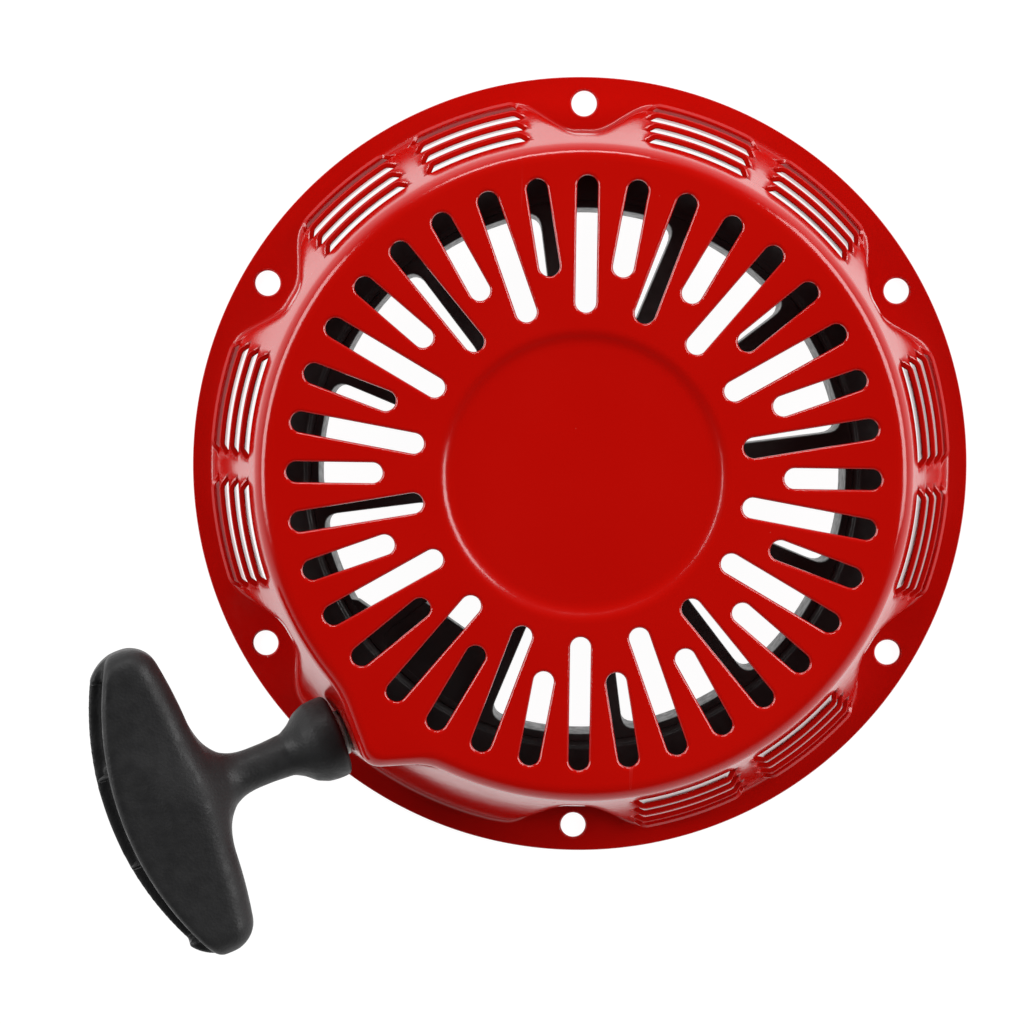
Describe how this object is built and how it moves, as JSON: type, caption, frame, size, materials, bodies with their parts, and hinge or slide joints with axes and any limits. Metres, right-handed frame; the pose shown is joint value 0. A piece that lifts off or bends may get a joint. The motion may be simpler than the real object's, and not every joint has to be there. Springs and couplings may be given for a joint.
{
  "type": "recoil starter",
  "caption": "Pull-cord recoil starter for a small engine: red pressed-steel slotted cover, black plastic rope reel behind it and a black T-grip.",
  "frame": {"origin": "centre of the bolt circle, on the mounting face of the flange", "axes": "+Z along the crankshaft's line, out through the slotted face; +X and +Y in the flange's plane, with two of the bolt holes on the Y axis"},
  "size_m": [0.2352, 0.233, 0.0613],
  "materials": {
    "cover_paint": "gloss red enamel on pressed steel",
    "reel_plastic": "black moulded nylon",
    "grip_plastic": "black, fine leather grain",
    "steel": "bright zinc plate",
    "spring_steel": "blued spring strip and wire",
    "guide_plastic": "natural nylon",
    "rope_fibre": "white braided nylon"
  },
  "bodies": {
    "housing": {"cover": "cover_paint", "centre_post": "steel", "centre_screw": "steel", "thrust_washer": "steel", "friction_spring": "spring_steel", "rope_guide": "guide_plastic", "rope_lead": "rope_fibre"},
    "reel_body": {"reel_rim": "reel_plastic", "reel_hub": "reel_plastic", "reel_spoke_1": "reel_plastic", "reel_spoke_2": "reel_plastic", "reel_spoke_3": "reel_plastic", "reel_spoke_4": "reel_plastic", "reel_spoke_5": "reel_plastic", "reel_spoke_6": "reel_plastic", "reel_spoke_7": "reel_plastic", "reel_spoke_8": "reel_plastic", "reel_spoke_9": "reel_plastic", "reel_spoke_10": "reel_plastic", "reel_spoke_11": "reel_plastic", "reel_spoke_12": "reel_plastic", "rope_coil": "rope_fibre", "reel_knot": "rope_fibre", "pawl_pin_1": "steel", "pawl_pin_2": "steel", "mainspring": "spring_steel", "pawl_spring_1": "spring_steel", "pawl_spring_2": "spring_steel"},
    "guide_body": {"ratchet_guide": "reel_plastic"},
    "pawl_1_body": {"pawl_1": "steel"},
    "pawl_2_body": {"pawl_2": "steel"},
    "grip_body": {"grip": "grip_plastic", "grip_ferrule": "steel", "grip_knot": "rope_fibre", "rope_tail": "rope_fibre"}
  },
  "joints": [
    {"name": "reel_spin", "type": "hinge", "parent": "housing", "child": "reel_body", "pos_m": [0, 0, 0.031], "axis": [0, 0, -1], "range_deg": [0, 1224], "stiffness_Nm_per_rad": 0.06, "springref_deg": -720.21, "deforming": ["mainspring", "rope_lead"]},
    {"name": "grip_pull", "type": "slide", "parent": "housing", "child": "grip_body", "axis": [-0.9018, -0.3462, 0.2588], "range_m": [0, 1.616]},
    {"name": "guide_turn", "type": "hinge", "parent": "reel_body", "child": "guide_body", "pos_m": [0, 0, 0.0067], "axis": [0, 0, 1], "range_deg": [0, 35]},
    {"name": "pawl_1_swing", "type": "hinge", "parent": "reel_body", "child": "pawl_1_body", "pos_m": [0.024, 0, 0.011], "axis": [0, 0, 1], "range_deg": [0, 30], "stiffness_Nm_per_rad": 0.002, "springref_deg": -11.46},
    {"name": "pawl_2_swing", "type": "hinge", "parent": "reel_body", "child": "pawl_2_body", "pos_m": [-0.024, 0, 0.011], "axis": [0, 0, 1], "range_deg": [0, 30], "stiffness_Nm_per_rad": 0.002, "springref_deg": -11.46}
  ],
  "couplings": [
    {"joint": "grip_pull", "follows": "reel_spin", "m_per_rad": 0.0756},
    {"joint": "pawl_1_swing", "follows": "guide_turn", "ratio": 0.8571},
    {"joint": "pawl_2_swing", "follows": "guide_turn", "ratio": 0.8571}
  ]
}
